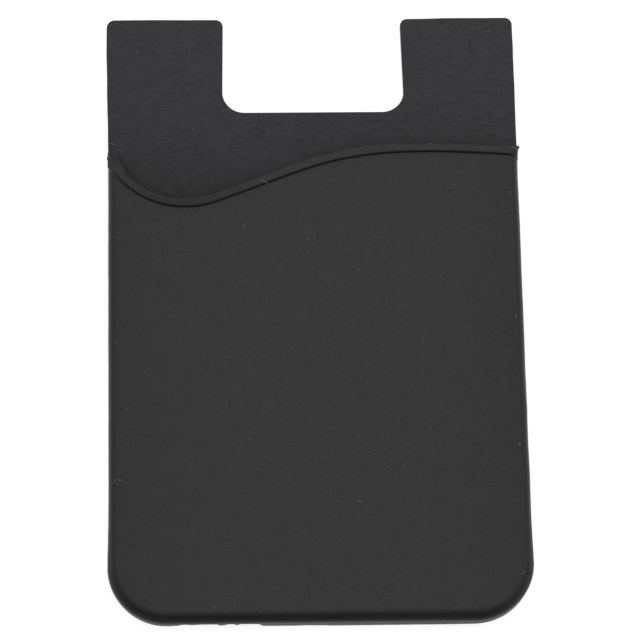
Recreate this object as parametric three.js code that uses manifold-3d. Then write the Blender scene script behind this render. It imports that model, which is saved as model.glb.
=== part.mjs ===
// Stick on card holder for the back of a phone: a thin moulded silicone sleeve.
// It lies on its back. +Z comes out of its front panel, +Y runs towards the
// thumb notch, and the origin is the middle of its footprint at the back face.
// Lengths are in millimetres.
import * as THREE from 'three';
import { mergeVertices } from 'three/addons/utils/BufferGeometryUtils.js';
import Module from 'manifold-3d';

// ---- driving dimensions -----------------------------------------------------
const HALF_W = 28.5;            // half width at the pocket
const Y_BOTTOM = -44;           // closed end
const Y_TOP = 44;               // tips of the two ears
const PLATE_T = 1.1;            // back plate
const SLOT_H = 0.9;             // room for the cards
const FRONT_Z = 3.0;            // top of the front panel
const WALL = 1.2;               // side and bottom walls of the pocket
const SHOULDER_R = 1.5;         // rounded edge of the front panel
const FOOT_R = 0.15;            // rounded edge at the back face
const PLATE_EDGE = 0.14;        // rounded edge on the plate's front face
const CORNER_L = 7.75;          // closed end, left corner
const CORNER_R = 8.0;           // closed end, right corner
const NOTCH_Y = 29.84;          // floor of the thumb notch
const NOTCH_R = 3.1;            // its two inner corners
const EAR_R = 1.05;             // corners of the ears
const BEAD_OUT = 1.44;          // raised bead along the mouth: from its foot line to its outer side
const BEAD_R = 0.65;            // round of its outer side
const BEAD_TOP = 3.27;          // its height
const FOOT_SIDE_R = 0.39;       // tighter round of the side that meets the panel
const FOOT_SIDE_Z = 2.889;      // centre of that round
const FOOT_SIDE_IN = 0.273;     // and its distance past the foot line
const BEAD_IN = 0.587;          // from the foot line to the front of the panel's body
const SIDE_IN = 1.0;            // from the foot line to the front of the side walls
const DIP_MAX = 0.97;           // how far over the shoulder the bead's ends follow it
const BEAD_END = [-28.56, 28.71]; // the bead's ends stand a little past the walls
const BEAD_WIDER = 0.62;        // and it broadens into its left end
const ADHESIVE_T = 0.2;
const LINER_T = 0.1;
const RECESS_D = ADHESIVE_T + LINER_T;   // shallow recess that holds both
const RECESS = { x: 26.0, y0: -41.6, y1: 26.4, r: 4.0 };
const ADHESIVE_GAP = 0.5;       // border between recess and adhesive
const LINER_GAP = 0.2;          // border between recess and liner

// foot line of the bead on the front panel, left to right
const MOUTH = [
  [-30.2, 23.45], [-28.5, 21.25], [-26.4, 18.62], [-24.45, 17.0], [-22.5, 15.98], [-20.6, 15.35],
  [-18.65, 15.05], [-16.7, 15.07], [-14.75, 15.42], [-12.85, 16.05], [-8.95, 17.53], [-5.0, 19.05],
  [-1.1, 20.5], [2.8, 21.67], [6.75, 22.44], [10.65, 22.86], [14.55, 23.0], [18.5, 22.97],
  [22.4, 22.79], [26.3, 22.56], [27.6, 22.4], [28.6, 22.12], [30.2, 21.6],
];
const MOUTH_STEPS = 60;

// outline of the back plate, counter-clockwise from above: x, y, corner radius
// (a negative radius is an inner corner)
const SIDE_R = [[HALF_W, 20, 0], [28.6, 25.2, 0]];
const SIDE_L = [[-28.57, 27.6, 0], [-HALF_W, 20, 0]];
const PLATE = [
  [-HALF_W, Y_BOTTOM, CORNER_L], [HALF_W, Y_BOTTOM, CORNER_R], ...SIDE_R,
  [28.62, Y_TOP, 1.0], [12.72, Y_TOP, 1.0], [13.02, NOTCH_Y, -NOTCH_R], [-12.57, NOTCH_Y, -NOTCH_R],
  [-12.34, Y_TOP, EAR_R], [-28.71, Y_TOP, 1.1], [-28.69, 32.4, 0], ...SIDE_L,
];
// outline of the pocket, closed above the mouth, where the mouth line cuts it
const POCKET = [
  [-HALF_W, Y_BOTTOM, CORNER_L], [HALF_W, Y_BOTTOM, CORNER_R], ...SIDE_R, [28.6, 27.6, 0], ...SIDE_L,
];

// ---- helpers ---------------------------------------------------------------
const wasm = await Module();
wasm.setup();

function toSolid(geometry) {
  const g = geometry.clone();
  for (const name of Object.keys(g.attributes)) if (name !== 'position') g.deleteAttribute(name);
  const m = mergeVertices(g, 1e-5);
  return new wasm.Manifold(new wasm.Mesh({
    numProp: 3,
    vertProperties: new Float32Array(m.attributes.position.array),
    triVerts: new Uint32Array(m.index.array),
  }));
}

function toGeometry(solid) {
  const mesh = solid.getMesh();
  const g = new THREE.BufferGeometry();
  g.setAttribute('position', new THREE.BufferAttribute(new Float32Array(mesh.vertProperties), 3));
  g.setIndex(new THREE.BufferAttribute(new Uint32Array(mesh.triVerts), 1));
  g.computeVertexNormals();
  return g;
}

// a closed path with rounded corners, moved inwards by `inset`
function roundedPath(corners, inset, steps) {
  const n = corners.length;
  const lines = corners.map((a, i) => {
    const b = corners[(i + 1) % n];
    const d = new THREE.Vector2(b[0] - a[0], b[1] - a[1]).normalize();
    const normal = new THREE.Vector2(-d.y, d.x);
    return { p: new THREE.Vector2(a[0], a[1]).addScaledVector(normal, inset), d };
  });
  const out = [];
  for (let i = 0; i < n; i++) {
    const l0 = lines[(i + n - 1) % n], l1 = lines[i];
    const cross = l0.d.x * l1.d.y - l0.d.y * l1.d.x;
    const w = new THREE.Vector2().subVectors(l1.p, l0.p);
    const t = (w.x * l1.d.y - w.y * l1.d.x) / cross;
    const apex = l0.p.clone().addScaledVector(l0.d, t);
    const r0 = corners[i][2];
    if (r0 === 0) { out.push([apex.x, apex.y]); continue; }
    const inner = r0 < 0;
    const r = inner ? -r0 + inset : r0 - inset;
    const turn = Math.acos(THREE.MathUtils.clamp(l0.d.dot(l1.d), -1, 1));
    const reach = r * Math.tan(turn / 2);
    const start = apex.clone().addScaledVector(l0.d, -reach);
    const side = new THREE.Vector2(-l0.d.y, l0.d.x).multiplyScalar(inner ? -1 : 1);
    const centre = start.clone().addScaledVector(side, r);
    const a0 = Math.atan2(start.y - centre.y, start.x - centre.x);
    const k = Math.abs(r0) > 5 ? steps[2] : Math.abs(r0) > 2 ? steps[1] : steps[0];
    for (let j = 0; j <= k; j++) {
      const a = a0 + (inner ? -1 : 1) * turn * (j / k);
      out.push([centre.x + r * Math.cos(a), centre.y + r * Math.sin(a)]);
    }
  }
  return out;
}

// closed solid through rings of equal count, bottom ring first
function loft(rings) {
  const n = rings[0].length;
  const position = [];
  for (const ring of rings) for (const p of ring) position.push(p[0], p[1], p[2]);
  const index = [];
  for (let k = 0; k + 1 < rings.length; k++) {
    for (let i = 0; i < n; i++) {
      const a = k * n + i, b = k * n + (i + 1) % n;
      index.push(a, b, b + n, a, b + n, a + n);
    }
  }
  const cap = (ring) => THREE.ShapeUtils.triangulateShape(ring.map((p) => new THREE.Vector2(p[0], p[1])), []);
  for (const [a, b, c] of cap(rings[0])) index.push(a, c, b);
  const top = (rings.length - 1) * n;
  for (const [a, b, c] of cap(rings[rings.length - 1])) index.push(top + a, top + b, top + c);
  const g = new THREE.BufferGeometry();
  g.setAttribute('position', new THREE.Float32BufferAttribute(position, 3));
  g.setIndex(index);
  return g;
}

const STEPS = [5, 7, 12];
const ringAt = (corners, inset, z) => roundedPath(corners, inset, STEPS).map(([x, y]) => [x, y, z]);
const prism = (path, z0, z1) => loft([path.map(([x, y]) => [x, y, z0]), path.map(([x, y]) => [x, y, z1])]);
const box = (x, y0, y1, r) => roundedPath([[-x, y0, r], [x, y0, r], [x, y1, r], [-x, y1, r]], 0, [5, 7, 8]);

// ---- the sleeve --------------------------------------------------------------
// back plate, with softly rounded edges
const plate = toSolid(loft([
  ringAt(PLATE, FOOT_R, 0), ringAt(PLATE, FOOT_R * 0.3, FOOT_R * 0.3), ringAt(PLATE, 0, FOOT_R),
  ringAt(PLATE, 0, PLATE_T - PLATE_EDGE), ringAt(PLATE, PLATE_EDGE * 0.3, PLATE_T - PLATE_EDGE * 0.3),
  ringAt(PLATE, PLATE_EDGE, PLATE_T),
]));

// pocket block, with the rounded shoulder all round
const shoulder = [];
for (let j = 0; j <= 6; j++) {
  const a = (j / 6) * Math.PI / 2;
  shoulder.push(ringAt(POCKET, SHOULDER_R * (1 - Math.cos(a)), FRONT_Z - SHOULDER_R * (1 - Math.sin(a))));
}
const block = toSolid(loft([
  ringAt(POCKET, FOOT_R, 0), ringAt(POCKET, FOOT_R * 0.3, FOOT_R * 0.3), ringAt(POCKET, 0, FOOT_R), ...shoulder,
]));

// mouth line, its normals, and the part of the block below it; the steps are
// finer at the two ends, where the bead dips over the shoulder
const curve = new THREE.CatmullRomCurve3(MOUTH.map(([x, y]) => new THREE.Vector3(x, y, 0)), false, 'centripetal');
const FLAT_HALF = HALF_W - SHOULDER_R;
const dip = (x) => {
  const t = Math.min(Math.max(Math.abs(x) - FLAT_HALF, 0), DIP_MAX * SHOULDER_R);
  return SHOULDER_R - Math.sqrt(SHOULDER_R * SHOULDER_R - t * t);
};
const along = [];
for (let i = 0; i <= MOUTH_STEPS; i++) {
  const atEnd = Math.abs(curve.getPointAt(i / MOUTH_STEPS).x) > FLAT_HALF - 0.9;
  for (let j = 0; j < (atEnd && i < MOUTH_STEPS ? 4 : 1); j++) {
    const u = (i + j / 4) / MOUTH_STEPS;
    const p = curve.getPointAt(u), t = curve.getTangentAt(u);
    along.push({ p: [p.x, p.y], n: [-t.y, t.x], dip: dip(p.x) });
  }
}
const offsetLine = (d) => along.map(({ p, n }) => [p[0] + n[0] * d, p[1] + n[1] * d]);
const below = [[-40, -60], [40, -60], ...offsetLine(BEAD_IN).reverse()];
const pocket = block.intersect(toSolid(prism(below, -2, 6)));

// bead and lip: one section carried along the mouth line, a low roll that is
// steep at its foot, nearly flat on top and rounder on its outer side
const section = [[0.3, FRONT_Z - 1.0], [BEAD_OUT - 0.15, FRONT_Z - 1.0], [BEAD_OUT, FRONT_Z - 0.86]];
for (let j = 0; j <= 6; j++) {
  const a = (j / 6) * THREE.MathUtils.degToRad(86);
  section.push([BEAD_OUT - BEAD_R + BEAD_R * Math.cos(a), BEAD_TOP - BEAD_R + BEAD_R * Math.sin(a)]);
}
for (let j = 0; j <= 7; j++) {
  const a = THREE.MathUtils.degToRad(80 + (j / 7) * 120);
  section.push([FOOT_SIDE_IN + FOOT_SIDE_R * Math.cos(a), FOOT_SIDE_Z + FOOT_SIDE_R * Math.sin(a)]);
}
const widen = (x) => 1 + BEAD_WIDER * THREE.MathUtils.clamp((-26.8 - x) / 1.9, 0, 1);
const beadPosition = [];
for (const at of along) {
  for (const [d0, z] of section) {
    const d = d0 < 0.3 ? d0 : 0.3 + (d0 - 0.3) * widen(at.p[0]);
    beadPosition.push(at.p[0] + at.n[0] * d, at.p[1] + at.n[1] * d, z - at.dip);
  }
}
const beadIndex = [];
const m = section.length;
for (let k = 0; k < along.length - 1; k++) {
  for (let i = 0; i < m; i++) {
    const a = k * m + i, b = k * m + (i + 1) % m;
    beadIndex.push(a, b, b + m, a, b + m, a + m);
  }
}
const sectionCap = THREE.ShapeUtils.triangulateShape(section.map(([d, z]) => new THREE.Vector2(d, z)), []);
const last = (along.length - 1) * m;
for (const [a, b, c] of sectionCap) {
  beadIndex.push(a, c, b);
  beadIndex.push(last + a, last + b, last + c);
}
const beadGeometry = new THREE.BufferGeometry();
beadGeometry.setAttribute('position', new THREE.Float32BufferAttribute(beadPosition, 3));
beadGeometry.setIndex(beadIndex);
const endTrim = toSolid(prism([[BEAD_END[0], -60], [BEAD_END[1], -60], [BEAD_END[1], 60], [BEAD_END[0], 60]], -2, 6));
const bead = toSolid(beadGeometry).intersect(endTrim);

// walls under the bead's two ends, which close the sides of the slot
const sides = block.intersect(toSolid(prism([[-40, -60], [40, -60], ...offsetLine(SIDE_IN).reverse()], -2, FRONT_Z - 0.6)));

// slot for the cards, open at the mouth
const slot = toSolid(prism(roundedPath([
  [-(HALF_W - WALL), Y_BOTTOM + WALL, CORNER_L - WALL], [HALF_W - WALL, Y_BOTTOM + WALL, CORNER_R - WALL],
  [HALF_W - WALL, 40, 0], [-(HALF_W - WALL), 40, 0],
], 0, STEPS), PLATE_T, PLATE_T + SLOT_H));

// shallow recess in the back for the adhesive and its liner
const recess = toSolid(prism(box(RECESS.x, RECESS.y0, RECESS.y1, RECESS.r), -1, RECESS_D));

const sleeve = plate.add(pocket).add(sides).add(bead).subtract(slot).subtract(recess);

// ---- adhesive and liner ------------------------------------------------------
const sheet = (gap, z0, z1) => prism(box(RECESS.x - gap, RECESS.y0 + gap, RECESS.y1 - gap, RECESS.r - gap), z0, z1);

// ---- the scene graph -----------------------------------------------------------
function piece(name, geometry, color, roughness) {
  const mesh = new THREE.Mesh(geometry, new THREE.MeshStandardMaterial({ color, roughness, metalness: 0 }));
  mesh.name = name;
  return mesh;
}

const holder = new THREE.Group();
holder.add(piece('card_sleeve', toGeometry(sleeve), 0x2b2b2d, 0.6));
holder.add(piece('adhesive_sheet', sheet(ADHESIVE_GAP, LINER_T, RECESS_D), 0xd9d8d2, 0.5));
holder.add(piece('release_liner', sheet(LINER_GAP, 0, LINER_T), 0xefeeea, 0.4));

export default holder;
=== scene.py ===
import bpy
import math
import numpy as np
from mathutils import Matrix, Vector, noise
from mathutils.bvhtree import BVHTree
from mathutils.geometry import delaunay_2d_cdt


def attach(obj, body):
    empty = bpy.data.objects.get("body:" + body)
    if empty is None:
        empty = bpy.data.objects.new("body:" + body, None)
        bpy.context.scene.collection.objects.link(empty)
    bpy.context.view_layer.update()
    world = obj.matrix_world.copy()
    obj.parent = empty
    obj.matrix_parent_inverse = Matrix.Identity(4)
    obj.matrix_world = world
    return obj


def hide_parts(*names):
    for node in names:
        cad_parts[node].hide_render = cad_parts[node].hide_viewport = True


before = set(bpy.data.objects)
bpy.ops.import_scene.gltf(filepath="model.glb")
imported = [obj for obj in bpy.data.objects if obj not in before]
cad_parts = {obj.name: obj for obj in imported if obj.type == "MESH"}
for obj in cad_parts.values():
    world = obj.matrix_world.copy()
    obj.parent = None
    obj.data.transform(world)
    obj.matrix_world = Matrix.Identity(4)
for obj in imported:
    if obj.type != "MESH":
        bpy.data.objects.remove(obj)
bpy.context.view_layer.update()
MM = 0.001

# ---------------------------------------------------------------- dimensions, mm
HALF_W = 28.5
Y_BOTTOM, Y_TOP = -44.0, 44.0
PLATE_T = 1.1
SLOT_TOP = 2.0
FRONT_Z = 3.0
WALL = 1.2
SHOULDER_R = 1.5
SIDE_TIGHTER = 0.2        # the shoulder reaches less far in along the two sides
HEEL = 0.11               # fullness of the closed end's wall just under the shoulder
CORNER_L, CORNER_R = 7.75, 8.0
NOTCH_Y, NOTCH_R = 29.84, 3.1
BEAD_OUT, BEAD_IN = 1.44, 0.587
SIDE_IN = 1.0
BEAD_END = 28.56
DIP_MAX = 0.97
RECESS = (26.0, -41.6, 26.4, 4.0)
RECESS_D = 0.3
FOOT_R = 0.15
RAGGED_SPAN = (-20.5, -6.8, 0.14)
# how far the roughly trimmed lower edge is set back, along x
RAGGED = [
    (-40.0, 0.0), (-22.4, 0.0), (-20.3, 0.06), (-19.4, 0.08), (-18.7, 0.21), (-18.2, 0.23), (-17.5, 0.16), (-16.35, 0.19),
    (-16.2, 0.34), (-15.2, 0.43), (-14.6, 0.48), (-14.15, 0.38), (-13.85, 0.10), (-13.4, 0.05), (-12.95, 0.10),
    (-12.55, 0.22), (-12.4, 0.30), (-11.9, 0.28), (-11.6, 0.12), (-11.35, 0.07), (-11.0, 0.18), (-10.7, 0.31),
    (-10.2, 0.29), (-9.6, 0.34), (-8.9, 0.42), (-8.5, 0.36), (-8.2, 0.12), (-7.8, 0.0), (-7.2, 0.0), (40.0, 0.0),
]
# how far the edges stand out from their nominal lines, along the edge
FOOT_OUT = [(-30.0, -0.05), (-22.5, -0.04), (-20.5, 0.0), (-9.0, 0.0), (-8.4, 0.05), (-4.0, 0.07), (-2.0, 0.035), (0.2, 0.06),
            (1.5, 0.11), (17.0, 0.11), (20.0, 0.085), (23.0, 0.06), (27.0, 0.09)]
LEFT_OUT = [(-44.0, 0.02), (-34.0, 0.02), (-30.0, 0.0), (-10.0, 0.0), (-4.0, -0.005), (4.0, 0.0), (13.0, 0.03), (19.0, 0.0),
            (22.0, 0.02), (26.0, 0.04), (29.0, 0.0), (32.0, 0.0), (36.0, 0.025), (39.5, 0.10), (43.0, 0.055)]
RIGHT_OUT = [(-44.0, 0.10), (-39.0, 0.09), (-36.0, 0.065), (-30.0, 0.06), (-24.0, 0.085), (-19.0, 0.03), (-14.0, 0.09),
             (-9.0, 0.035), (-5.0, 0.05), (0.0, 0.07), (12.0, 0.06), (19.0, 0.035), (23.0, 0.06), (26.0, 0.03), (30.0, 0.005),
             (34.0, 0.035), (36.5, 0.02), (39.5, 0.05), (43.0, 0.005)]
TOP_OUT = [(-28.7, 0.016), (-24.0, 0.03), (-21.4, 0.03), (-19.9, 0.0), (-15.7, -0.03), (-12.0, -0.026), (12.0, -0.066),
           (16.0, -0.056), (17.3, -0.018), (18.8, 0.035), (21.0, 0.03), (25.0, 0.01), (28.7, 0.01)]

MOUTH = [
    (-30.2, 23.45), (-28.5, 21.25), (-26.4, 18.62), (-24.45, 17.0), (-22.5, 15.98), (-20.6, 15.35),
    (-18.65, 15.05), (-16.7, 15.07), (-14.75, 15.42), (-12.85, 16.05), (-8.95, 17.53), (-5.0, 19.05),
    (-1.1, 20.5), (2.8, 21.67), (6.75, 22.44), (10.65, 22.86), (14.55, 23.0), (18.5, 22.97),
    (22.4, 22.79), (26.3, 22.56), (27.6, 22.40), (28.6, 22.12), (30.2, 21.6),
]
SIDE_R = [(HALF_W, 20, 0), (28.6, 25.2, 0)]
SIDE_L = [(-28.57, 27.6, 0), (-HALF_W, 20, 0)]
PLATE = [
    (-HALF_W, Y_BOTTOM, CORNER_L), (HALF_W, Y_BOTTOM, CORNER_R), *SIDE_R,
    (28.62, Y_TOP, 1.0), (12.72, Y_TOP, 1.0), (13.02, NOTCH_Y, -NOTCH_R), (-12.57, NOTCH_Y, -NOTCH_R),
    (-12.34, Y_TOP, 1.05), (-28.71, Y_TOP, 1.1), (-28.69, 32.4, 0), *SIDE_L,
]
POCKET = [
    (-HALF_W, Y_BOTTOM, CORNER_L), (HALF_W, Y_BOTTOM, CORNER_R), *SIDE_R, (28.6, 29.5, 2.5), (-28.57, 29.5, 2.5),
    (-HALF_W, 20, 0),
]


# ---------------------------------------------------------------- shape helpers
def outline(corners, seg=0.5, fine=1.0, dense=None):
    """Points along a closed path with rounded corners, and their outward normals."""
    n = len(corners)
    c = [Vector(k[:2]) for k in corners]
    arcs = []
    for i in range(n):
        d0 = (c[i] - c[i - 1]).normalized()
        d1 = (c[(i + 1) % n] - c[i]).normalized()
        r = corners[i][2]
        if r == 0:
            m = Vector((d0.y, -d0.x)) + Vector((d1.y, -d1.x))
            arcs.append([(c[i], m.normalized())])
            continue
        inner, rad = r < 0, abs(r)
        turn = math.acos(max(-1.0, min(1.0, d0.dot(d1))))
        start = c[i] - d0 * (rad * math.tan(turn / 2))
        side = Vector((-d0.y, d0.x)) * (-1 if inner else 1)
        centre = start + side * rad
        a0 = math.atan2(start.y - centre.y, start.x - centre.x)
        k = max(8, int(round(turn * rad / (0.22 if rad < 2 else 0.3) * fine)))
        k = max(k, int(12 * fine))
        pts = []
        for j in range(k + 1):
            a = a0 + (-1 if inner else 1) * turn * j / k
            u = Vector((math.cos(a), math.sin(a)))
            pts.append((centre + u * rad, u * (-1 if inner else 1)))
        arcs.append(pts)
    P, N = [], []
    for i in range(n):
        P += [p for p, _ in arcs[i]]
        N += [q for _, q in arcs[i]]
        a, b = arcs[i][-1][0], arcs[(i + 1) % n][0][0]
        q = Vector(((b - a).y, -(b - a).x)).normalized()
        k = max(1, int(round((b - a).length / seg)))
        steps = [j / k for j in range(1, k)]
        if dense and abs(a.y - b.y) < 1e-6 and a.y < Y_BOTTOM + 0.01:
            x0, x1, fine_seg = dense
            steps = [t for t in steps if not x0 < a.x + (b.x - a.x) * t < x1]
            steps = sorted(steps + [(x - a.x) / (b.x - a.x) for x in np.arange(x0, x1, fine_seg)])
        for t in steps:
            P.append(a.lerp(b, t))
            N.append(q)
    return np.array([tuple(p) for p in P]), np.array([tuple(q) for q in N])


def inside(points, poly):
    x, y = points[:, 0][:, None], points[:, 1][:, None]
    x0, y0 = poly[:, 0], poly[:, 1]
    x1, y1 = np.roll(x0, -1), np.roll(y0, -1)
    hit = ((y0 > y) != (y1 > y)) & (x < (x1 - x0) * (y - y0) / (y1 - y0 + 1e-12) + x0)
    return hit.sum(1) % 2 == 1


def fill(ring, grid):
    """Triangles over a closed path, with a regular net of points inside when grid is set."""
    pts = [Vector(p) for p in ring]
    n = len(pts)
    if grid:
        lo, hi = ring.min(0), ring.max(0)
        xs = np.arange(lo[0] + grid / 2, hi[0], grid)
        ys = np.arange(lo[1] + grid / 2, hi[1], grid * 0.866)
        g = np.array([(x + (grid / 2 if j % 2 else 0), y) for j, y in enumerate(ys) for x in xs])
        g = g[inside(g, ring)]
        keep = np.ones(len(g), bool)
        for s in range(0, len(g), 1000):
            d = np.linalg.norm(g[s:s + 1000, None] - ring[None], axis=2).min(1)
            keep[s:s + 1000] = d > grid * 0.55
        pts += [Vector(p) for p in g[keep]]
    out, _, faces, orig, _, _ = delaunay_2d_cdt(pts, [(i, (i + 1) % n) for i in range(n)], [], 1, 1e-7)
    back = [o[0] for o in orig]
    tris = []
    for f in faces:
        a, b, c = (out[i] for i in f)
        t = [back[i] for i in f]
        if (b - a).cross(c - a) < 0:
            t.reverse()
        tris.append(t)
    extra = np.array([tuple(p) for p in pts[n:]]).reshape(-1, 2)
    return extra, tris


def make(name, verts, faces):
    me = bpy.data.meshes.new(name)
    me.from_pydata([tuple(map(float, v)) for v in verts], [], [tuple(map(int, f)) for f in faces])
    me.validate()
    ob = bpy.data.objects.new(name, me)
    bpy.context.scene.collection.objects.link(ob)
    return ob


def loft(name, path, levels, grid=0.0, grid_low=0.0):
    """Closed solid over a path: levels are (inset, z), lowest first. An inset may be one value a point."""
    P, N = path
    n = len(P)
    verts, faces = [], []
    for inset, z in levels:
        q = P - N * np.reshape(inset, (-1, 1))
        verts += [(x, y, z) for x, y in q]
    for k in range(len(levels) - 1):
        for i in range(n):
            a, b = k * n + i, k * n + (i + 1) % n
            faces += [(a, b, b + n), (a, b + n, a + n)]
    for top, g in ((True, grid), (False, grid_low)):
        base = (len(levels) - 1) * n if top else 0
        inset, z = levels[-1 if top else 0]
        ring = P - N * np.reshape(inset, (-1, 1))
        extra, tris = fill(ring, g)
        first = len(verts)
        verts += [(x, y, z) for x, y in extra]
        for t in tris:
            t = [base + i if i < n else first + i - n for i in t]
            faces.append(t if top else t[::-1])
    return make(name, verts, faces)


def boolean(a, b, op):
    before = len(a.data.vertices)
    for solver in ("MANIFOLD", "EXACT"):          # the second only where the first leaves the piece as it was
        mod = a.modifiers.new("cut", "BOOLEAN")
        mod.operation, mod.object, mod.solver = op, b, solver
        dg = bpy.context.evaluated_depsgraph_get()
        me = bpy.data.meshes.new_from_object(a.evaluated_get(dg))
        a.modifiers.clear()
        if len(me.vertices) != before:
            break
    old, a.data = a.data, me
    bpy.data.meshes.remove(old)
    gone = b.data
    bpy.data.objects.remove(b)
    bpy.data.meshes.remove(gone)
    return a


def spline(points, samples):
    """Centripetal Catmull-Rom line through the points, evenly spaced by length."""
    p = np.array(points, float)
    p = np.vstack([2 * p[0] - p[1], p, 2 * p[-1] - p[-2]])
    out = []
    for i in range(1, len(p) - 2):
        p0, p1, p2, p3 = p[i - 1:i + 3]
        t0 = 0.0
        t1 = t0 + np.linalg.norm(p1 - p0) ** 0.5
        t2 = t1 + np.linalg.norm(p2 - p1) ** 0.5
        t3 = t2 + np.linalg.norm(p3 - p2) ** 0.5
        for t in np.linspace(t1, t2, 40, endpoint=False):
            a1 = (t1 - t) / (t1 - t0) * p0 + (t - t0) / (t1 - t0) * p1
            a2 = (t2 - t) / (t2 - t1) * p1 + (t - t1) / (t2 - t1) * p2
            a3 = (t3 - t) / (t3 - t2) * p2 + (t - t2) / (t3 - t2) * p3
            b1 = (t2 - t) / (t2 - t0) * a1 + (t - t0) / (t2 - t0) * a2
            b2 = (t3 - t) / (t3 - t1) * a2 + (t - t1) / (t3 - t1) * a3
            out.append((t2 - t) / (t2 - t1) * b1 + (t - t1) / (t2 - t1) * b2)
    out.append(p[-2])
    out = np.array(out)
    s = np.r_[0, np.cumsum(np.linalg.norm(np.diff(out, axis=0), axis=1))]
    u = np.linspace(0, s[-1], samples)
    q = np.c_[np.interp(u, s, out[:, 0]), np.interp(u, s, out[:, 1])]
    for _ in range(3):
        q[1:-1] = q[1:-1] * 0.5 + (q[:-2] + q[2:]) * 0.25
    t = np.gradient(q, axis=0)
    t /= np.linalg.norm(t, axis=1)[:, None]
    return q, np.c_[-t[:, 1], t[:, 0]]


# ---------------------------------------------------------------- the sleeve
MP, MN = spline(MOUTH, 430)
FLAT_HALF = HALF_W - SHOULDER_R


def dip(x):
    t = np.clip(np.abs(x) - FLAT_HALF, 0, DIP_MAX * SHOULDER_R)
    return (SHOULDER_R - np.sqrt(SHOULDER_R ** 2 - t ** 2)) * np.where(x < 0, 0.5, 1.0)      # the left end stays blunt


def mouth_y(x, off=0.0):
    q = MP + MN * off
    return np.interp(x, q[:, 0], q[:, 1])


def area_below(off):
    q = MP + MN * off
    return np.array([(-40.0, -60.0), (40.0, -60.0), *map(tuple, q[::-1])])


def prism(name, ring, z0, z1):
    n = len(ring)
    verts = [(x, y, z0) for x, y in ring] + [(x, y, z1) for x, y in ring]
    faces = []
    for i in range(n):
        b = (i + 1) % n
        faces += [(i, b, b + n), (i, b + n, i + n)]
    _, tris = fill(ring, 0)
    faces += [t[::-1] for t in tris] + [[i + n for i in t] for t in tris]
    return make(name, verts, faces)


# small lumps of flash left at the bead's ends: seed, place, half-sizes
FLASH = [
    (3, (28.48, 23.86, 2.15), (0.38, 0.26, 0.32)),
    (7, (28.48, 23.42, 2.05), (0.22, 0.26, 0.30)),
    (11, (-28.50, 22.70, 2.00), (0.17, 0.30, 0.30)),
]


def lump(seed, place, size):
    rnd = np.random.default_rng(seed)
    verts, faces = [], []
    rows, cols = 7, 12
    verts.append((0, 0, -1))
    for i in range(1, rows):
        t = math.pi * i / rows
        verts += [(math.sin(t) * math.cos(2 * math.pi * j / cols), math.sin(t) * math.sin(2 * math.pi * j / cols), -math.cos(t)) for j in range(cols)]
    verts.append((0, 0, 1))
    last = len(verts) - 1
    for j in range(cols):
        k = (j + 1) % cols
        faces.append((0, 1 + k, 1 + j))
        faces.append((last, last - cols + j, last - cols + k))
        for i in range(rows - 2):
            a, b = 1 + i * cols + j, 1 + i * cols + k
            faces += [(a, b, b + cols), (a, b + cols, a + cols)]
    jag = rnd.uniform(0.80, 1.18, len(verts))
    out = [tuple(p + s * c * g for p, s, c in zip(place, size, v)) for v, g in zip(verts, jag)]
    return make("lump", out, faces)


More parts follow.
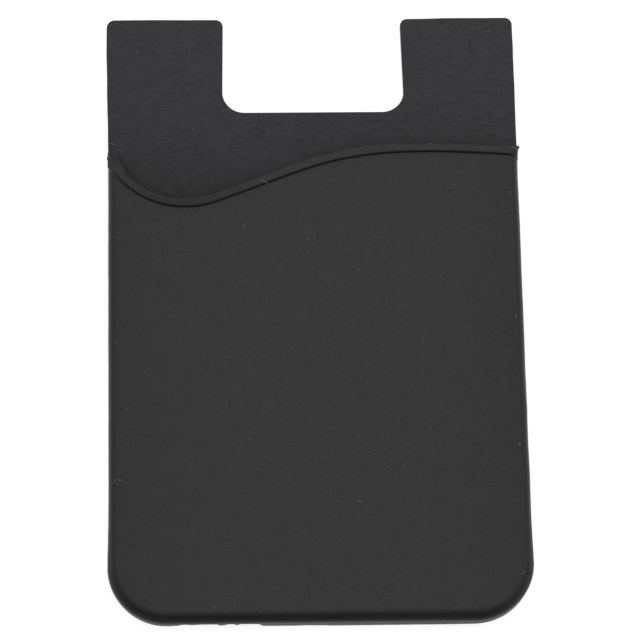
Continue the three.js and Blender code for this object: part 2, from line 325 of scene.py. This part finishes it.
def build_sleeve():
    path = outline(PLATE, seg=0.55, dense=RAGGED_SPAN)
    y = path[0][:, 1]
    edge = 0.05 + 0.07 * np.clip((y - 19.0) / 4.0, 0, 1)      # the free plate has softer edges
    foot = []
    for j in range(5):
        a = j / 4 * math.pi / 2
        foot.append((FOOT_R * (1 - math.sin(a)), FOOT_R * (1 - math.cos(a))))
    rim = []
    for j in range(6):
        a = j / 5 * math.pi / 2
        rim.append((edge * (1 - math.cos(a)), PLATE_T - 0.14 + 0.14 * math.sin(a)))
    plate = loft("card_sleeve_fine", path, [*foot, (0.0, 0.5), *rim], grid=0.9, grid_low=2.2)

    path = outline(POCKET, seg=0.55, dense=RAGGED_SPAN)
    levels = [(0.35, 0.80), (0.10, 1.03), (0.045, 1.10), (0.012, 1.17), (0.0, 1.25), (0.0, 1.4)]
    reach = SHOULDER_R - SIDE_TIGHTER * np.clip((path[0][:, 1] + 40.0) / 6.0, 0, 1)
    for j in range(15):
        a = j / 14 * math.pi / 2
        levels.append((reach * (1 - math.cos(a)), FRONT_Z - SHOULDER_R * (1 - math.sin(a))))
    block = loft("block", path, levels, grid=0.9, grid_low=0.0)
    wall = loft("wall", path, levels, grid=0.0, grid_low=0.0)
    block = boolean(block, prism("below", area_below(BEAD_IN), -2, 6), "INTERSECT")
    wall = boolean(wall, prism("below", area_below(SIDE_IN), -2, FRONT_Z - 0.6), "INTERSECT")

    # bead and lip, one section carried along the mouth: a low flat-topped roll, steep at its foot
    sec = [(0.25, 1.97), (1.24, 1.97), (1.34, 1.985), (1.40, 2.03), (BEAD_OUT - 0.01, 2.12), (BEAD_OUT, 2.3)]
    for j in range(14):
        a = math.radians(86 * j / 13)
        sec.append((BEAD_OUT - 0.65 + 0.65 * math.cos(a), 2.62 + 0.65 * math.sin(a)))
    sec += [(0.64, 3.275), (0.47, 3.272)]
    for j in range(17):
        a = math.radians(80 + 120 * j / 16)
        sec.append((0.273 + 0.39 * math.cos(a), 2.889 + 0.39 * math.sin(a)))
    sec = np.array(sec)
    m = len(sec)
    verts = []
    for (px, py), (nx, ny), dz in zip(MP, MN, dip(MP[:, 0])):
        wide = 1 + 0.62 * min(1.0, max(0.0, (-26.8 - px) / 1.9))          # it broadens into its left end
        verts += [(px + nx * e, py + ny * e, z - dz) for e, z in ((d if d < 0.3 else 0.3 + (d - 0.3) * wide, z) for d, z in sec)]
    faces = []
    for k in range(len(MP) - 1):
        for i in range(m):
            a, b = k * m + i, k * m + (i + 1) % m
            faces += [(a, b, b + m), (a, b + m, a + m)]
    _, tris = fill(sec, 0)
    last = (len(MP) - 1) * m
    faces += [t[::-1] for t in tris] + [[i + last for i in t] for t in tris]
    bead = make("bead", verts, faces)
    ends = np.array([(-BEAD_END, -60), (BEAD_END, -60), (BEAD_END, 60), (-26.90, 60),
                     (-26.95, 23.12), (-27.08, 23.26), (-27.30, 23.34), (-27.60, 23.36), (-28.10, 23.30), (-BEAD_END, 23.22)], float)
    bead = boolean(bead, prism("ends", ends, -2, 6), "INTERSECT")

    sleeve = boolean(plate, block, "UNION")
    sleeve = boolean(sleeve, wall, "UNION")
    sleeve = boolean(sleeve, bead, "UNION")
    for seed, place, size in FLASH:
        sleeve = boolean(sleeve, lump(seed, place, size), "UNION")

    inner = outline([
        (-(HALF_W - WALL), Y_BOTTOM + WALL, CORNER_L - WALL), (HALF_W - WALL, Y_BOTTOM + WALL, CORNER_R - WALL),
        (HALF_W - WALL, 27.0, 0), (-(HALF_W - WALL), 27.0, 0)], seg=2.0)
    slot = loft("slot", inner, [(0.0, 1.12), (0.0, SLOT_TOP)], grid=2.0, grid_low=2.0)
    sleeve = boolean(sleeve, slot, "DIFFERENCE")
    x, y0, y1, r = RECESS
    path = outline([(-x, y0, r), (x, y0, r), (x, y1, r), (-x, y1, r)], seg=1.0)
    rec = loft("recess", path, [(-0.07, -1.0), (-0.07, 0.0), (-0.02, 0.02), (0.0, 0.07), (0.0, RECESS_D)], grid=2.5, grid_low=0.0)
    return boolean(sleeve, rec, "DIFFERENCE")




def smooth(a, b, x):
    t = np.clip((x - a) / (b - a), 0, 1)
    return t * t * (3 - 2 * t)


def worn(ob):
    """The moulding's small unevenness: slack faces, a roughly trimmed lower edge, edges that aren't dead straight."""
    me = ob.data
    n = len(me.vertices)
    v = np.empty(n * 3)
    me.vertices.foreach_get("co", v)
    v = v.reshape(-1, 3)
    table = {w: np.array(t).T for w, t in (("ragged", RAGGED), ("foot", FOOT_OUT), ("left", LEFT_OUT), ("right", RIGHT_OUT), ("top", TOP_OUT))}
    out = v.copy()
    for i, (x, y, z) in enumerate(v):
        h = max(0.0, min(1.0, z / FRONT_Z))
        slack = noise.noise(Vector((x / 21 + 3.1, y / 24 + 1.7, 0.3)))
        ripple = noise.noise(Vector((x / 7 + 9.2, y / 8 - 4.4, 5.3)))
        out[i, 2] += h * (0.07 * slack + 0.012 * ripple)
        # side edges wander a few hundredths
        if abs(x) > 26.5:
            g = (abs(x) - 26.5) / 2.0
            out[i, 0] += g * math.copysign(float(np.interp(y, *table["right" if x > 0 else "left"])), x)
            out[i, 0] += g * (math.copysign(0.04, x) * min(1.0, max(0.0, (24.0 - y) / 4)) + 0.045 * noise.noise(Vector((math.copysign(7, x), y / 9, 2.0))) + 0.018 * noise.noise(Vector((math.copysign(3, x), y / 1.7, 4.0))))
        if y > 42.6:
            g = (y - 42.6) / 1.4
            out[i, 1] += g * (0.09 + float(np.interp(x, *table["top"])) + 0.0012 * x + 0.02 * noise.noise(Vector((x / 2.1, 3.0, 8.0))))
        r = CORNER_L if x < 0 else CORNER_R
        dx, dy = max(0.0, abs(x) - HALF_W + r), max(0.0, Y_BOTTOM + r - y)
        far = math.hypot(dx, dy)
        if y < -28.0 and far > r - 2.0:
            below = float(smooth(2.55, 1.95, z))
            g = min(1.0, max(0.0, (-37.0 - y) / 5.5))
            foot = g * g * (3 - 2 * g) * float(np.interp(x, *table["foot"])) * below
            out[i, 1] -= foot
            full = max(0.0, HEEL * below - foot * dy / far) * float(smooth(1.1, 1.35, z)) * float(smooth(-29.0, -36.5, y)) * min(1.0, (far - r + 2.0) / 1.2)
            out[i, 0] += full * math.copysign(dx / far, x)
            out[i, 1] -= full * dy / far
        if y < -42.0 and z < 1.2:
            t = min(1.0, max(0.0, (1.2 - z) / 0.3))
            t = t * t * (3 - 2 * t)
            g = min(1.0, (-42.0 - y) / 1.2)
            d = float(np.interp(x, *table["ragged"])) + 0.018 * noise.noise(Vector((x / 0.8, 1.0, 6.0)))
            out[i, 1] += t * g * d
    me.vertices.foreach_set("co", out.ravel())
    me.update()


def finish_mesh(ob, angle=35):
    me = ob.data
    me.transform(Matrix.Scale(MM, 4))
    me.polygons.foreach_set("use_smooth", [True] * len(me.polygons))
    me.set_sharp_from_angle(angle=math.radians(angle))
    me.update()


sleeve = build_sleeve()
worn(sleeve)


# ---------------------------------------------------------------- dust and lint
class Ground:
    """Finds the top of the sleeve under a point, in mm."""

    def __init__(self, ob):
        me = ob.data
        self.tree = BVHTree.FromPolygons([tuple(v.co) for v in me.vertices], [tuple(f.vertices) for f in me.polygons])

    def at(self, x, y):
        p, q, _, _ = self.tree.ray_cast(Vector((x, y, 20)), Vector((0, 0, -1)))
        if p is None or q.z < 0.2:
            return None
        return p, q


ground = Ground(sleeve)


# ---------------------------------------------------------------- materials
class Mat:
    """Small helper for building one node material."""

    def __init__(self, name):
        self.m = bpy.data.materials.new(name)
        self.m.use_nodes = True
        self.t = self.m.node_tree
        self.b = self.t.nodes["Principled BSDF"]

    def node(self, kind, **props):
        nd = self.t.nodes.new(kind)
        for k, v in props.items():
            setattr(nd, k, v)
        return nd

    def link(self, a, b):
        self.t.links.new(a, b)

    def coords(self, scale=(1, 1, 1)):
        """Object coordinates in mm, stretched by scale."""
        tc = self.node("ShaderNodeTexCoord")
        mp = self.node("ShaderNodeMapping")
        mp.inputs["Scale"].default_value = [1000 * k for k in scale]
        self.link(tc.outputs["Object"], mp.inputs["Vector"])
        return mp.outputs["Vector"]

    def noise(self, scale, stretch=(1, 1, 1), detail=3.0, rough=0.55):
        nd = self.node("ShaderNodeTexNoise")
        nd.inputs["Scale"].default_value = scale
        nd.inputs["Detail"].default_value = detail
        nd.inputs["Roughness"].default_value = rough
        self.link(self.coords(stretch), nd.inputs["Vector"])
        return nd.outputs["Fac"]

    def ramp(self, fac, stops):
        nd = self.node("ShaderNodeValToRGB")
        e = nd.color_ramp.elements
        while len(e) < len(stops):
            e.new(0.5)
        for k, (pos, col) in zip(e, stops):
            k.position = pos
            k.color = (*col, 1) if isinstance(col, tuple) else (col, col, col, 1)
        self.link(fac, nd.inputs["Fac"])
        return nd.outputs["Color"]

    def range(self, fac, a, b, c, d):
        nd = self.node("ShaderNodeMapRange")
        for k, v in zip(("From Min", "From Max", "To Min", "To Max"), (a, b, c, d)):
            nd.inputs[k].default_value = v
        self.link(fac, nd.inputs["Value"])
        return nd.outputs["Result"]

    def math(self, op, a, b):
        nd = self.node("ShaderNodeMath", operation=op)
        for i, v in enumerate((a, b)):
            if isinstance(v, (int, float)):
                nd.inputs[i].default_value = v
            else:
                self.link(v, nd.inputs[i])
        return nd.outputs["Value"]

    def mix(self, fac, a, b):
        nd = self.node("ShaderNodeMix", data_type="RGBA")
        self.link(fac, nd.inputs["Factor"])
        for i, v in ((6, a), (7, b)):
            if isinstance(v, tuple):
                nd.inputs[i].default_value = (*v, 1)
            else:
                self.link(v, nd.inputs[i])
        return nd.outputs[2]

    def bump(self, height, distance, strength=1.0, after=None):
        nd = self.node("ShaderNodeBump")
        nd.inputs["Distance"].default_value = distance * MM
        nd.inputs["Strength"].default_value = strength
        self.link(height, nd.inputs["Height"])
        if after is not None:
            self.link(after, nd.inputs["Normal"])
        return nd.outputs["Normal"]

    def set(self, **values):
        for k, v in values.items():
            self.b.inputs[k.replace("_", " ")].default_value = v


def silicone(name, panel, plate, edge, rough, rough_edge):
    """Black silicone rubber: satin, with the fine grain of its mould, patchy sheen and a little rubbed-in dust.
    Point attributes say how much of each finish a place has: plate (coarser, with marks that run across) and edge
    (smoother radii, walls and bead, also painted darker there as shade on the sloping faces). A third point attribute
    is a painted-shade mask: it darkens the plate by the mouth, the dip's hollow, the bead's outer side and lee, and
    the panel towards its sides."""
    m = Mat(name)
    m.set(IOR=1.41)
    m.b.inputs["Specular IOR Level"].default_value = 0.5

    def attribute(word):
        nd = m.node("ShaderNodeAttribute", attribute_name=word)
        return nd.outputs["Fac"]

    on_plate, on_edge, shade_painted = attribute("plate"), attribute("edge"), attribute("shade_painted")
    fine = m.noise(5.2, detail=3.0, rough=0.6)
    pits = m.noise(2.6, detail=2.0, rough=0.5)
    cloud = m.noise(0.055, detail=3.0, rough=0.5)
    patch = m.noise(0.32, detail=4.0, rough=0.6)
    col = m.mix(on_plate, panel, plate)
    # sloping faces take the darker edge colour, a painted shade
    col = m.mix(on_edge, col, edge)
    # painted shade: under the shade mask the colour sinks towards a quarter of the plate's colour
    dark = tuple(k * 0.25 for k in plate)
    col = m.mix(shade_painted, col, dark)

    def times(c, k):
        nd = m.node("ShaderNodeVectorMath", operation="SCALE")
        m.link(c, nd.inputs[0])
        m.link(k, nd.inputs["Scale"])
        return nd.outputs["Vector"]

    # fine speckle, stronger on the plate, and dust haze in patches
    speck = m.range(fine, 0.34, 0.66, -1.0, 1.0)
    amount = m.range(on_plate, 0.0, 1.0, SPECK_PANEL, SPECK_PLATE)
    gain = m.math("ADD", m.math("MULTIPLY", speck, amount), 1.0)
    gain = m.math("ADD", gain, m.range(patch, 0.40, 0.75, -0.05, 0.20))
    gain = m.math("ADD", gain, m.range(cloud, 0.35, 0.65, -0.05, 0.05))
    mottle = m.noise(1.25, stretch=(0.8, 1.3, 1.0), detail=2.5, rough=0.6)
    gain = m.math("ADD", gain, m.math("MULTIPLY", m.range(mottle, 0.32, 0.68, -0.22, 0.22), m.range(on_plate, 0.0, 1.0, 0.45, 1.0)))
    # short marks that run across the plate, left by the mould's tooling
    st = m.noise(1.0, stretch=(0.62, 3.4, 0.8), detail=3.0, rough=0.6)
    st2 = m.noise(1.0, stretch=(1.3, 5.5, 0.9), detail=2.0, rough=0.5)
    line = m.math("MULTIPLY", m.range(st, 0.34, 0.56, 1.0, 0.0), m.range(st2, 0.34, 0.62, 1.0, 0.0))
    line = m.math("MULTIPLY", line, on_plate)
    gain = m.math("SUBTRACT", gain, m.math("MULTIPLY", line, STREAK))
    col = times(col, gain)

    r = m.math("ADD", m.range(cloud, 0.35, 0.65, rough - 0.02, rough + 0.02), m.range(patch, 0.3, 0.7, -0.02, 0.02))
    r = m.math("ADD", r, m.range(fine, 0.3, 0.7, -0.05, 0.05))
    r = m.math("ADD", r, m.math("MULTIPLY", line, 0.10))
    r = m.math("ADD", r, m.math("MULTIPLY", shade_painted, 0.10))
    r = m.math("ADD", r, m.math("MULTIPLY", on_edge, rough_edge - rough))
    nrm = m.bump(fine, 0.010)
    nrm = m.bump(pits, 0.010, after=nrm)
    nrm = m.bump(m.math("MULTIPLY", st, on_plate), 0.014, after=nrm)
    nrm = m.bump(line, -0.010, after=nrm)
    m.link(col, m.b.inputs["Base Color"])
    m.link(r, m.b.inputs["Roughness"])
    m.link(nrm, m.b.inputs["Normal"])
    return m.m


SPECK_PANEL, SPECK_PLATE, STREAK = 0.44, 0.36, 0.30
PANEL_COL = (0.0228, 0.0217, 0.0234)
PLATE_COL = (0.0255, 0.0253, 0.0292)
# the edge colour is far darker than the faces: painted shade on shoulders, walls and bead flanks; their smoother
# finish is real
EDGE_SHADE_COL = (0.0060, 0.0058, 0.0063)
SILICONE = silicone("black_silicone", PANEL_COL, PLATE_COL, EDGE_SHADE_COL, 0.58, 0.44)


def paint_sleeve(ob):
    """Says for each point which finish the moulding has there, and how much painted shade it gets."""
    me = ob.data
    me.materials.clear()
    me.materials.append(SILICONE)
    n = len(me.vertices)
    v = np.empty(n * 3)
    q = np.empty(n * 3)
    me.vertices.foreach_get("co", v)
    me.vertex_normals.foreach_get("vector", q)
    v, q = v.reshape(-1, 3), q.reshape(-1, 3)
    tilt = np.degrees(np.arccos(np.clip(q[:, 2], -1, 1)))
    plate = 1 - smooth(1.25, 1.6, v[:, 2])
    edge = smooth(6, 32, tilt)
    # distance up the plate from the mouth, and in from the sides of the pocket's face
    up = np.empty(n)
    for k in range(0, n, 2000):
        up[k:k + 2000] = np.sqrt(((v[k:k + 2000, None, :2] - MP[None]) ** 2).sum(2)).min(1)
    beyond = v[:, 1] > mouth_y(v[:, 0])
    d = np.maximum(up - 1.2, 0)
    low = beyond & (v[:, 2] < 1.5)
    # painted shade: the plate beyond the mouth is darker close to it, fading over some 7 mm
    shade_amount = np.where(low, 0.36 * np.exp(-d / 7.0), 0.0)
    # painted shade in the hollow of the dip, on the plate and on the bead round it
    dip_mask = np.exp(-((v[:, 0] + 18.3) ** 2 + (v[:, 1] - 17.5) ** 2) / (2 * 5.5 ** 2))
    shade_amount += np.where(v[:, 1] > mouth_y(v[:, 0]) + 0.05, (0.28 + 0.25 * (v[:, 2] > 2.2)) * dip_mask, 0.0)
    # painted shade too on the outer side of the bead and the strip of plate in its lee
    shade_amount += np.where(low, 0.26 * np.exp(-((up - 2.0) / 0.6) ** 2), 0.0)
    shade_amount += np.where(beyond & (v[:, 2] > 1.9), 0.75 * smooth(0.80, 1.30, up), 0.0)
    # painted shade on the pocket's face, darker towards its sides
    side = HALF_W - np.abs(v[:, 0])
    shade_amount += np.where(~beyond & (v[:, 2] > 2.0), 0.30 * np.exp(-np.maximum(side, 0) / 5.0), 0.0)
    shade_amount *= 1 - 0.6 * edge
    for word, val in (("plate", plate), ("edge", edge), ("shade_painted", shade_amount)):
        at = me.attributes.new(word, "FLOAT", "POINT")
        at.data.foreach_set("value", np.clip(val, 0, 1).astype(np.float32))


paint_sleeve(sleeve)


def matte(name, low, high, scale, rough):
    m = Mat(name)
    f = m.noise(scale, detail=2.0)
    m.link(m.mix(m.range(f, 0.3, 0.7, 0.0, 1.0), low, high), m.b.inputs["Base Color"])
    m.link(m.range(f, 0.3, 0.7, rough - 0.05, rough + 0.05), m.b.inputs["Roughness"])
    m.set(IOR=1.45)
    return m.m


DUST_MAT = matte("dust", (0.20, 0.195, 0.19), (0.42, 0.41, 0.40), 3.0, 0.85)
LINT_MAT = matte("lint", (0.13, 0.13, 0.135), (0.24, 0.24, 0.245), 2.0, 0.8)
SOOT_MAT = matte("fleck_dark", (0.004, 0.004, 0.004), (0.008, 0.008, 0.008), 3.0, 0.8)
SMUDGE_MAT = matte("fleck_coloured", (0.060, 0.030, 0.075), (0.10, 0.055, 0.12), 3.0, 0.8)


# ---------------------------------------------------------------- dust pieces
# flecks that stand out: x, y, width (mm)
FLECKS = [
    (27.26, -19.85, 0.27), (27.41, -1.44, 0.15), (-0.77, 20.95, 0.18), (5.27, -27.63, 0.10), (-12.46, 30.04, 0.19),
    (-24.47, 39.14, 0.17), (25.22, 42.00, 0.16), (-27.56, -4.64, 0.17), (13.56, -24.16, 0.13),
    (-20.92, 29.42, 0.14), (-27.81, 25.20, 0.08), (-9.38, -18.72, 0.16), (0.82, 3.21, 0.12), (27.35, 13.35, 0.10),
    (25.60, 10.06, 0.15), (14.57, -4.47, 0.12), (27.29, 16.88, 0.10), (4.53, -10.32, 0.14), (5.99, 5.55, 0.17),
    (12.10, -41.56, 0.12), (8.04, -4.56, 0.14), (-26.16, -14.26, 0.14), (17.82, -42.62, 0.14), (16.21, 1.89, 0.15),
    (23.18, -41.82, 0.11), (-4.38, -10.11, 0.12), (-2.53, -0.75, 0.12), (22.09, -26.54, 0.12), (22.42, 17.25, 0.12),
    (-21.91, 32.66, 0.14), (20.73, 28.56, 0.10), (10.04, 28.19, 0.09), (0.75, 27.35, 0.09), (-16.76, 27.32, 0.13),
    (23.89, 26.27, 0.09), (-5.86, 26.04, 0.12), (8.30, 17.84, 0.11), (19.44, 18.05, 0.09), (26.29, 14.72, 0.13),
    (-20.47, 11.40, 0.09), (-27.09, 11.30, 0.10), (-1.01, 10.06, 0.14), (27.04, 8.65, 0.13), (-0.90, 8.44, 0.10),
    (10.51, 6.43, 0.10), (12.58, 6.27, 0.09), (-0.40, 5.94, 0.13), (11.44, 5.11, 0.09), (-16.11, 4.61, 0.10),
    (-9.24, 4.11, 0.09), (3.13, 3.42, 0.10), (1.87, 2.41, 0.10), (12.14, 0.14, 0.13), (17.40, -3.25, 0.09),
    (5.60, -3.29, 0.11), (7.63, -4.47, 0.10), (27.40, -4.21, 0.09), (26.09, -6.37, 0.11), (-15.38, -6.71, 0.12),
    (-12.38, -6.88, 0.08), (3.87, -7.18, 0.09), (24.36, -8.81, 0.10), (5.32, -9.49, 0.10), (-0.15, -10.16, 0.12),
    (5.85, -10.22, 0.10), (6.79, -10.94, 0.10), (0.90, -12.03, 0.10), (-22.23, -13.10, 0.13), (20.74, -14.80, 0.10),
    (10.90, -15.85, 0.11), (15.35, -17.32, 0.14), (27.04, -17.86, 0.09), (5.39, -18.64, 0.11),
    (11.77, -18.84, 0.12), (8.88, -20.23, 0.11), (-0.51, -21.98, 0.10), (11.53, -22.67, 0.12),
    (10.27, -24.21, 0.09), (-27.54, -24.10, 0.10), (-18.12, -26.16, 0.09), (14.52, -36.43, 0.09),
    (16.40, 24.10, 0.17),
]
# fibres: radius, points (mm)
FIBRES = [
    (0.045, [(-7.46, 18.84), (-6.97, 18.66), (-6.49, 18.43), (-6.29, 18.20)]),
    (0.030, [(-9.20, 12.56), (-9.62, 12.34), (-9.83, 11.90), (-9.81, 11.53)]),
    (0.038, [(27.49, -1.06), (27.41, -1.46), (27.45, -1.85)]),
    (0.028, [(8.59, -22.72), (8.91, -22.36)]),
    (0.042, [(4.95, -27.43), (5.29, -27.70), (5.70, -27.62)]),
    (0.032, [(27.26, -37.44), (27.16, -37.86), (26.74, -37.98)]),
    (0.036, [(-27.86, -24.97), (-27.59, -24.44), (-27.21, -24.24), (-26.93, -24.47), (-26.68, -24.42)]),
    (0.030, [(-27.40, -24.75), (-27.13, -25.00)]),
    (0.022, [(-14.58, -41.82), (-14.34, -42.13), (-14.21, -42.48)]),
    (0.026, [(27.11, 16.62), (27.46, 16.97)]),
    (0.045, [(-28.45, 25.26), (-28.17, 25.26), (-27.92, 25.20), (-27.68, 24.93)]),
    (0.045, [(-27.60, 23.11), (-27.39, 23.32), (-27.09, 23.14), (-26.91, 22.72)]),
    (0.040, [(-28.33, 23.08), (-28.43, 22.68), (-28.17, 22.35)]),
    (0.050, [(27.79, 23.65), (28.21, 23.72), (28.50, 23.64)]),
    (0.060, [(28.36, 23.62), (28.44, 23.42), (28.46, 23.15), (28.40, 22.90)]),
]
SPECK_DARK = [(20.5, -5.3, 0.16)]
SPECK_COLOURED = [(-16.1, -21.1, 0.22), (22.6, 31.2, 0.20)]


def crumbs(name, table, mat, seed, flat=0.55):
    """Small irregular flakes lying on the sleeve."""
    rnd = np.random.default_rng(seed)
    verts, faces = [], []
    t = (1 + 5 ** 0.5) / 2
    ico = np.array([(-1, t, 0), (1, t, 0), (-1, -t, 0), (1, -t, 0), (0, -1, t), (0, 1, t), (0, -1, -t), (0, 1, -t),
                    (t, 0, -1), (t, 0, 1), (-t, 0, -1), (-t, 0, 1)]) / math.hypot(1, t)
    tri = [(0, 11, 5), (0, 5, 1), (0, 1, 7), (0, 7, 10), (0, 10, 11), (1, 5, 9), (5, 11, 4), (11, 10, 2), (10, 7, 6),
           (7, 1, 8), (3, 9, 4), (3, 4, 2), (3, 2, 6), (3, 6, 8), (3, 8, 9), (4, 9, 5), (2, 4, 11), (6, 2, 10),
           (8, 6, 7), (9, 8, 1)]
    for x, y, w in table:
        hit = ground.at(x, y)
        if hit is None:
            continue
        p, q = hit
        ax = q.orthogonal().normalized()
        ay = q.cross(ax)
        ang = rnd.uniform(0, math.pi)
        u = ax * math.cos(ang) + ay * math.sin(ang)
        v = q.cross(u)
        s = np.array([1.0, rnd.uniform(0.55, 0.95), rnd.uniform(0.7, 1.0) * flat]) * w / 2
        jag = rnd.uniform(0.75, 1.2, 12)
        first = len(verts)
        for k, j in zip(ico, jag):
            a, b, c = k * s * j
            verts.append(tuple(p + u * a + v * b + q * (c + s[2] * 0.55)))
        faces += [tuple(first + i for i in f) for f in tri]
    ob = make(name, verts, faces)
    ob.data.materials.append(mat)
    finish_mesh(ob, 60)
    return ob


def fibre_mesh(name, table, mat, seed):
    """Lint: short bent fibres that lie on the sleeve, tapered and closed at both ends."""
    rnd = np.random.default_rng(seed)
    verts, faces = [], []
    for rad, pts in table:
        pts = np.array(pts, float)
        if len(pts) == 2:
            mid = pts.mean(0) + rnd.uniform(-0.05, 0.05, 2)
            pts = np.array([pts[0], mid, pts[1]])
        q, _ = spline(pts, 18)
        line = []
        for x, y in q:
            hit = ground.at(x, y)
            if hit is None:
                continue
            line.append(hit[0] + hit[1] * rad * 0.8)
        if len(line) < 4:
            continue
        zs = np.array([k.z for k in line])
        top = np.array([zs[max(0, i - 2):i + 3].max() for i in range(len(zs))])      # a fibre bridges small hollows
        for k, z in zip(line, (top + zs) / 2):
            k.z = z
        m = 7
        first = len(verts)
        for i, c in enumerate(line):
            d = (line[min(i + 1, len(line) - 1)] - line[max(i - 1, 0)]).normalized()
            a = d.cross(Vector((0, 0, 1))).normalized()
            b = a.cross(d)
            f = min(1.0, 0.45 + 0.25 * min(i, len(line) - 1 - i))
            for j in range(m):
                w = 2 * math.pi * j / m
                verts.append(tuple(c + (a * math.cos(w) + b * math.sin(w)) * rad * f))
        n = len(line)
        for i in range(n - 1):
            for j in range(m):
                a, b = first + i * m + j, first + i * m + (j + 1) % m
                faces.append((a, b, b + m, a + m))
        faces.append(tuple(first + j for j in range(m))[::-1])
        faces.append(tuple(first + (n - 1) * m + j for j in range(m)))
    ob = make(name, verts, faces)
    ob.data.materials.append(mat)
    finish_mesh(ob, 80)
    return ob


rnd = np.random.default_rng(77)
fine_dust = []
while len(fine_dust) < 190:
    x, y = rnd.uniform(-27.8, 28.0), rnd.uniform(-43.0, 43.4)
    # more settles towards the right and along the edges than in the middle
    if rnd.random() > 0.45 + 0.35 * (x > 3) + 0.3 * (abs(x) > 26.5):
        continue
    fine_dust.append((x, y, rnd.uniform(0.035, 0.062)))

dust = crumbs("dust_flecks", FLECKS + fine_dust, DUST_MAT, 5)
dark = crumbs("dust_dark", SPECK_DARK, SOOT_MAT, 6)
tint = crumbs("dust_coloured", SPECK_COLOURED, SMUDGE_MAT, 8, flat=0.2)
lint = fibre_mesh("lint_fibres", FIBRES, LINT_MAT, 9)

finish_mesh(sleeve)
for piece in (sleeve, dust, dark, tint, lint):
    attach(piece, "root")
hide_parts("card_sleeve")


# ---------------------------------------------------------------- adhesive and liner
def film(name, base, tint2, rough, bump):
    m = Mat(name)
    m.set(IOR=1.47)
    f = m.noise(0.9, detail=4.0, rough=0.6)
    g = m.noise(7.0, detail=2.0)
    wide = m.noise(0.05, detail=2.0)
    col = m.mix(m.range(f, 0.35, 0.65, 0.0, 1.0), base, tint2)
    m.link(col, m.b.inputs["Base Color"])
    m.link(m.math("ADD", m.range(wide, 0.35, 0.65, rough - 0.05, rough + 0.05), m.range(g, 0.3, 0.7, -0.04, 0.04)), m.b.inputs["Roughness"])
    nrm = m.bump(g, 0.006 * bump)
    nrm = m.bump(f, 0.02 * bump, after=nrm)
    nrm = m.bump(wide, 0.5 * bump, after=nrm)
    m.link(nrm, m.b.inputs["Normal"])
    return m.m


LINER_MAT = film("coated_paper", (0.74, 0.72, 0.66), (0.81, 0.79, 0.74), 0.42, 1.0)
GLUE_MAT = film("adhesive_film", (0.50, 0.49, 0.45), (0.58, 0.57, 0.53), 0.30, 0.6)
for node, mat in (("release_liner", LINER_MAT), ("adhesive_sheet", GLUE_MAT)):
    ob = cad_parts[node]
    for k in range(max(1, len(ob.data.materials))):
        if ob.material_slots:
            ob.material_slots[k].material = mat
        else:
            ob.data.materials.append(mat)


# ---------------------------------------------------------------- studio
FLOOR_R = 4.0
fm = Mat("floor_white")
fm.b.inputs["Base Color"].default_value = (0.32, 0.32, 0.32, 1)
fm.b.inputs["Roughness"].default_value = 0.9
fm.b.inputs["Specular IOR Level"].default_value = 0.1
fm.b.inputs["Emission Color"].default_value = (1, 1, 1, 1)
fm.b.inputs["Emission Strength"].default_value = 0.85
ring = [(FLOOR_R * math.cos(a), FLOOR_R * math.sin(a), -0.00002) for a in np.linspace(0, 2 * math.pi, 97)[:-1]]
floor = make("floor", ring, [tuple(range(96))])
floor.data.materials.append(fm.m)

world = bpy.data.worlds.new("studio")
bpy.context.scene.world = world
world.use_nodes = True
wt = world.node_tree
bg = wt.nodes["Background"]
tc = wt.nodes.new("ShaderNodeTexCoord")
dot = wt.nodes.new("ShaderNodeVectorMath")
dot.operation = "DOT_PRODUCT"
AIM = Vector((0.10, 0.80, 0.55)).normalized()
dot.inputs[1].default_value = AIM
rng = wt.nodes.new("ShaderNodeMapRange")
for k, v in zip(("From Min", "From Max", "To Min", "To Max"), (-0.70, 0.65, 0.04, 0.90)):
    rng.inputs[k].default_value = v
wt.links.new(tc.outputs["Generated"], dot.inputs[0])
wt.links.new(dot.outputs["Value"], rng.inputs["Value"])
wt.links.new(rng.outputs["Result"], bg.inputs["Strength"])
bg.inputs["Color"].default_value = (1, 1, 1, 1)


def area(name, place, aim, size, power):
    li = bpy.data.lights.new(name, "AREA")
    li.shape, li.size, li.size_y, li.energy = "RECTANGLE", size[0], size[1], power
    ob = bpy.data.objects.new(name, li)
    bpy.context.scene.collection.objects.link(ob)
    ob.location = place
    ob.rotation_euler = (Vector(aim) - Vector(place)).to_track_quat("-Z", "Y").to_euler()
    return ob


area("overhead", (0.25, 0.45, 1.5), (0, 0, 0), (1.2, 0.9), 2.0)

# ---------------------------------------------------------------- camera
R = Matrix(((0.9993789829, -0.0191994891, 0.0295470488),
            (0.0084583535, 0.9447158679, 0.3277810018),
            (-0.0342067937, -0.3273275248, 0.9442915793)))
cam = bpy.data.cameras.new("camera")
cam.sensor_width = 36
cam.lens = 3692.027 / 640 * 36
cam.clip_start, cam.clip_end = 0.02, 50
co = bpy.data.objects.new("camera", cam)
bpy.context.scene.collection.objects.link(co)
co.matrix_world = Matrix.Translation((-0.016826, -0.167409, 0.480978)) @ R.transposed().to_4x4()
bpy.context.scene.camera = co
bpy.context.scene.view_settings.view_transform = "Standard"

bpy.context.view_layer.update()
